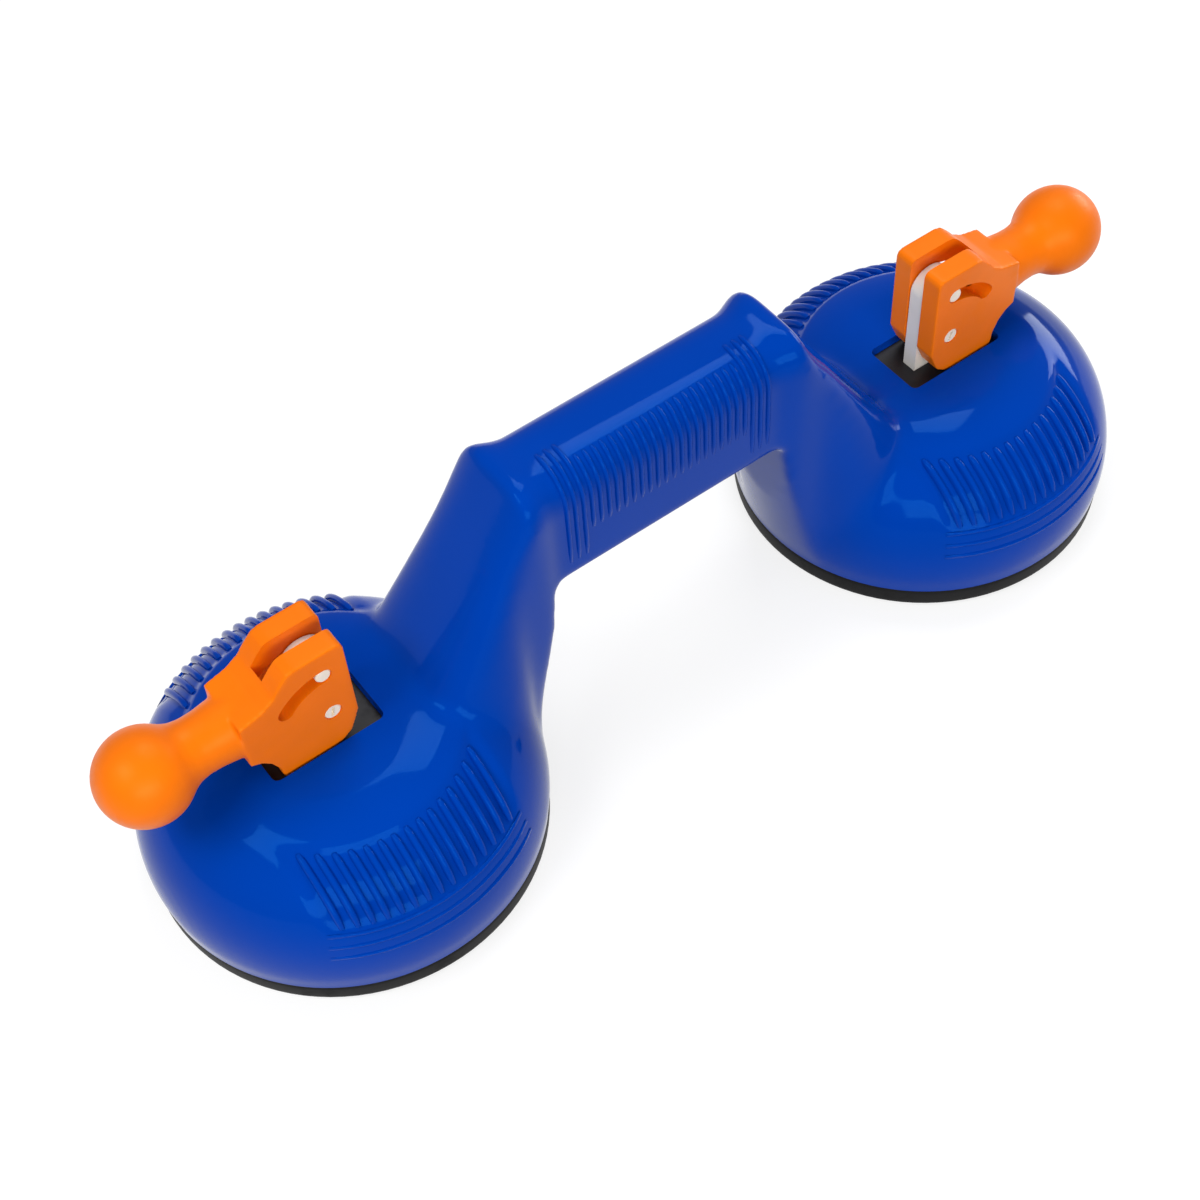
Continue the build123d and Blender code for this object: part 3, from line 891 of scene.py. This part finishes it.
def build_lever():
    """Right-hand lever: fork, neck and ball flow together, then the slit, slots and holes are cut."""
    lever = prism("Fork", lever_place(cheek_outline()), -CHEEK_HALF, CHEEK_HALF)
    combine(lever, neck_form(), "UNION")
    change(lever, "REMESH", mode="VOXEL", voxel_size=0.55 * MM)
    change(lever, "SMOOTH", factor=0.5, iterations=5)
    hole = arc_points((0, 0), HOLE_RADIUS, range(0, 360, 9))
    cuts = (("Slit", slit_outline(), SLIT_HALF), ("Arc slot", slot_outline(), 20), ("Hole", hole, 20))
    for name, outline, half in cuts:
        combine(lever, prism(name, lever_place(outline), -half, half), "DIFFERENCE")
    return lever


class LIFTER_OT_levers(Operator):
    """Adds both orange levers"""

    bl_idname = "lifter.levers"
    bl_label = "Levers"

    def execute(self, context):
        orange = lever_material()
        right = build_lever()
        left = mirrored(right, "X")
        for side, lever in (("right", right), ("left", left)):
            lever.name = side + "_cam_lever"
            finish_piece(lever, orange, side + "_lever", "orange_lever", side + "_lever")
            smooth_shade(lever, 32)
        return {"FINISHED"}


# Pins

def turned_pin(name, node, slot_turn):
    """Round-edged pin in the place of the frame's own, with a slot in its near end if a turn is given."""
    low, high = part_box(node)
    radius = (high.z - low.z) / 2
    middle = (low + high) / 2
    edge = 0.35 * MM
    step = 2 * math.pi / PIN_POINTS
    rings = []
    for y, share in ((low.y, 0.86), (low.y + edge, 1.0), (high.y - edge, 1.0), (high.y, 0.86)):
        rim = radius * share
        rings.append([(middle.x + rim * math.cos(n * step), y, middle.z + rim * math.sin(n * step))
                      for n in range(PIN_POINTS)])
    pin = loft(name, rings)
    if slot_turn is not None:
        bpy.ops.object.select_all(action="DESELECT")
        bpy.ops.mesh.primitive_cube_add(size=1)
        slot = bpy.context.object
        slot.scale = (0.9 * MM, 2.2 * MM, 1.25 * radius)
        slot.rotation_euler = (0, math.radians(slot_turn), 0)
        slot.location = (middle.x, low.y, middle.z)
        bpy.ops.object.transform_apply()
        combine(pin, slot, "DIFFERENCE")
    return pin


class LIFTER_OT_pins(Operator):
    """Adds the pivot pins, their screws and the stop pins"""

    bl_idname = "lifter.pins"
    bl_label = "Pins"

    def execute(self, context):
        cream = pin_material()
        for side in SIDES:
            for part, slot_turn in (("pivot_pin", 12), ("pivot_screw", None), ("stop_pin", None)):
                node = side + "_" + part
                pin = turned_pin(side + "_turned_" + part, node, slot_turn)
                finish_piece(pin, cream, side + "_stem", "plated_pin", node)
                smooth_shade(pin, 40)
        return {"FINISHED"}


# Rubber discs

def build_lip():
    """Sealing lip of the right-hand disc, spun round: a rounded edge, and two fine rings under it."""
    rows = [(50.0, 4.8), (50.0, 0.9), (50.6, 0.15), (52.0, 0.0), (52.6, 0.5), (53.2, 0.0), (54.6, 0.0),
            (55.2, 0.5), (55.8, 0.0), (57.4, 0.0), (58.4, 0.4), (59.0, 1.2), (59.1, 2.2), (59.2, 5.6),
            (59.1, RIM - 0.5), (58.8, RIM - 0.05), (56.0, RIM - 0.05), (54.5, 5.2)]
    bpy.ops.object.select_all(action="DESELECT")
    bpy.ops.mesh.primitive_circle_add(vertices=len(rows), radius=MM)
    lip = bpy.context.object
    for vertex, (radius, height) in zip(lip.data.vertices, rows):
        vertex.co = ((CUP_X + radius) * MM, 0, height * MM)
    bpy.ops.object.mode_set(mode="EDIT")
    bpy.ops.mesh.select_all(action="SELECT")
    bpy.ops.mesh.spin(steps=CUP_POINTS, angle=2 * math.pi, center=(CUP_X * MM, 0, 0), axis=(0, 0, 1))
    bpy.ops.object.mode_set(mode="OBJECT")
    outward(lip)
    return lip


def build_web():
    """Middle of the disc: thin web, thick centre and a moulded ring under it."""
    rows = [(0.0, 4.5), (22.0, 4.5), (23.0, 4.1), (24.2, 4.1), (25.2, 4.4), (30.0, 3.3), (38.0, 1.7),
            (46.0, 0.35), (50.3, 0.3), (50.3, 4.7), (46.0, 5.2), (38.0, 6.6), (30.0, 7.9), (24.0, 8.4),
            (0.0, 8.4)]
    return loft("Web", [cup_ring(max(radius, 0.3), height) for radius, height in rows])


class LIFTER_OT_discs(Operator):
    """Adds the black rubber discs: a lip in place of the frame's disc, and a middle on the housing with a
    mesh of its own
    """

    bl_idname = "lifter.discs"
    bl_label = "Rubber discs"

    def execute(self, context):
        black = rubber_material()
        for part, build in (("lip", build_lip), ("web", build_web)):
            right = build()
            for side, obj in (("left", mirrored(right, "X")), ("right", right)):
                obj.name = side + "_rubber_" + part
                smooth_shade(obj, 50)
                if part == "lip":
                    finish_piece(obj, black, "housing", "black_rubber", side + "_rubber_disc")
                else:
                    finish_piece(obj, black, "housing", "black_rubber")
                    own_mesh(obj)
        return {"FINISHED"}


# Springs

def spring_path():
    """Middle line of the right-hand spring, with its ends wound flatter."""
    steps = SPRING_TURNS * 24
    rise = SPRING_HIGH - SPRING_LOW
    path = []
    for n in range(int(steps) + 1):
        share = n / steps
        height = SPRING_LOW + rise * eased(share, 0.0, 1.0) * SPRING_FLAT
        height += rise * share * (1 - SPRING_FLAT)
        turn = 2 * math.pi * SPRING_TURNS * share
        path.append(Vector(((CUP_X + SPRING_RADIUS * math.cos(turn)) * MM,
                            SPRING_RADIUS * math.sin(turn) * MM, height * MM)))
    return path


def build_spring():
    """Coil spring of the right-hand cup, of round wire."""
    path = spring_path()
    turns = [n * math.pi / 6 for n in range(12)]
    rings = []
    for n, place in enumerate(path):
        ahead = path[min(n + 1, len(path) - 1)] - path[max(n - 1, 0)]
        out = Vector((place.x - CUP_X * MM, place.y, 0)).normalized()
        up = ahead.normalized().cross(out).normalized()
        rings.append([place + (out * math.cos(turn) + up * math.sin(turn)) * MM for turn in turns])
    return loft("Spring", rings)


class LIFTER_OT_springs(Operator):
    """Adds the return springs, which stretch between the housing and the stems"""

    bl_idname = "lifter.springs"
    bl_label = "Springs"

    def execute(self, context):
        wire = steel_material()
        right = build_spring()
        pick_only(right)
        bpy.ops.object.duplicate()
        left = bpy.context.object
        bpy.ops.transform.rotate(value=math.pi, orient_axis="Z", center_override=(0, 0, 0))
        bpy.ops.object.transform_apply()
        for side, obj in (("left", left), ("right", right)):
            obj.name = side + "_coil_spring"
            finish_piece(obj, wire, None, "spring_steel", side + "_return_spring")
            smooth_shade(obj, 60)
            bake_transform(obj)
        return {"FINISHED"}


# Stage

def pale_floor_material():
    """Pale floor: white to the camera and in reflections, and it keeps the lifter's shadow."""
    material = bpy.data.materials.new("Pale floor")
    material.use_nodes = True
    nodes, links = material.node_tree.nodes, material.node_tree.links
    nodes.clear()
    path = nodes.new("ShaderNodeLightPath")
    seen = nodes.new("ShaderNodeMath")
    seen.operation = "MAXIMUM"
    through = nodes.new("ShaderNodeMath")
    through.operation = "MAXIMUM"
    level = nodes.new("ShaderNodeMath")
    level.operation = "MULTIPLY"
    level.inputs[1].default_value = 0.72
    glow = nodes.new("ShaderNodeEmission")
    glow.inputs["Color"].default_value = (1, 1, 1, 1)
    diffuse = nodes.new("ShaderNodeBsdfDiffuse")
    diffuse.inputs["Color"].default_value = (0.34, 0.34, 0.34, 1)
    both = nodes.new("ShaderNodeAddShader")
    put = nodes.new("ShaderNodeOutputMaterial")
    links.new(path.outputs["Is Camera Ray"], seen.inputs[0])
    links.new(path.outputs["Is Glossy Ray"], seen.inputs[1])
    links.new(seen.outputs[0], through.inputs[0])
    links.new(path.outputs["Is Transmission Ray"], through.inputs[1])
    links.new(through.outputs[0], level.inputs[0])
    links.new(level.outputs[0], glow.inputs["Strength"])
    links.new(diffuse.outputs[0], both.inputs[0])
    links.new(glow.outputs[0], both.inputs[1])
    links.new(both.outputs[0], put.inputs["Surface"])
    return material


def pale_world(strength):
    """White behind everything, and a soft even light on it."""
    world = bpy.data.worlds.new("Pale room")
    bpy.context.scene.world = world
    world.use_nodes = True
    nodes, links = world.node_tree.nodes, world.node_tree.links
    sky = nodes["Background"]
    sky.inputs["Color"].default_value = (1, 1, 1, 1)
    path = nodes.new("ShaderNodeLightPath")
    level = nodes.new("ShaderNodeMapRange")
    level.inputs["To Min"].default_value = strength
    level.inputs["To Max"].default_value = 1.0
    links.new(path.outputs["Is Camera Ray"], level.inputs["Value"])
    links.new(level.outputs["Result"], sky.inputs["Strength"])


def aimed(place, aim, roll=0.0):
    """Where and how something stands that looks from one place at another."""
    turn = (Vector(aim) - Vector(place)).to_track_quat("-Z", "Y").to_matrix().to_4x4()
    return Matrix.Translation(place) @ turn @ Matrix.Rotation(roll, 4, "Z")


def add_soft_light(name, place, width, height, power):
    """A rectangular soft light that faces the lifter."""
    bpy.ops.object.light_add(type="AREA")
    lamp = bpy.context.object
    lamp.name = name
    lamp.data.shape = "RECTANGLE"
    lamp.data.size = width
    lamp.data.size_y = height
    lamp.data.energy = power
    lamp.matrix_world = aimed(place, LIGHT_AIM)


class LIFTER_OT_stage(Operator):
    """Adds the pale floor, the soft lights and the camera"""

    bl_idname = "lifter.stage"
    bl_label = "Stage"

    def execute(self, context):
        given = context.scene.lifter_stage
        bpy.ops.object.select_all(action="DESELECT")
        bpy.ops.mesh.primitive_plane_add(size=6, location=(0, 0, -0.0003))
        floor = context.object
        floor.name = "Floor"
        bpy.ops.object.transform_apply()
        put_material(floor, pale_floor_material())
        pale_world(given.sky)
        add_soft_light("Large light", LARGE_LIGHT_PLACE, width=1.1, height=0.5, power=given.key_power)
        for index, place in enumerate(PANEL_PLACES):
            add_soft_light("Panel light " + str(index + 1), place, width=0.48, height=0.32,
                           power=given.panel_power)
        camera = bpy.data.objects.new("Camera", bpy.data.cameras.new("Camera"))
        context.collection.objects.link(camera)
        camera.data.sensor_width = SENSOR_WIDTH
        camera.data.lens = SENSOR_WIDTH * given.focal_share
        camera.data.shift_x = SHIFT_RIGHT_PIXELS / PICTURE_WIDTH
        camera.data.shift_y = SHIFT_UP_PIXELS / PICTURE_WIDTH
        camera.matrix_world = aimed(given.camera_place, given.camera_aim, given.camera_roll)
        context.scene.camera = camera
        context.scene.view_settings.view_transform = "Standard"
        return {"FINISHED"}


class LIFTER_PT_panel(Panel):
    """Sidebar panel for the lifter's steps and settings"""

    bl_label = "Glass lifter"
    bl_idname = "LIFTER_PT_panel"
    bl_space_type = "VIEW_3D"
    bl_region_type = "UI"
    bl_category = "Lifter"

    def draw(self, context):
        for step in STEPS:
            self.layout.operator(step.bl_idname)
        for group in (context.scene.lifter_colours, context.scene.lifter_stage):
            box = self.layout.box()
            for name in group.bl_rna.properties.keys():
                if name not in ("rna_type", "name"):
                    box.prop(group, name)


STEPS = (LIFTER_OT_finishes, LIFTER_OT_housing, LIFTER_OT_levers, LIFTER_OT_pins, LIFTER_OT_discs,
         LIFTER_OT_springs, LIFTER_OT_stage)
CLASSES = (LifterColours, StageSettings, *STEPS, LIFTER_PT_panel)


def register():
    """Registers the classes and puts their settings on the scene."""
    for item in CLASSES:
        bpy.utils.register_class(item)
    bpy.types.Scene.lifter_colours = PointerProperty(type=LifterColours)
    bpy.types.Scene.lifter_stage = PointerProperty(type=StageSettings)


def unregister():
    """Takes the settings and the classes away again."""
    del bpy.types.Scene.lifter_colours
    del bpy.types.Scene.lifter_stage
    for item in reversed(CLASSES):
        bpy.utils.unregister_class(item)


def main():
    """Runs every step in order."""
    register()
    bpy.ops.lifter.finishes()
    bpy.ops.lifter.housing()
    bpy.ops.lifter.levers()
    bpy.ops.lifter.pins()
    bpy.ops.lifter.discs()
    bpy.ops.lifter.springs()
    bpy.ops.lifter.stage()


if __name__ == "__main__":
    main()
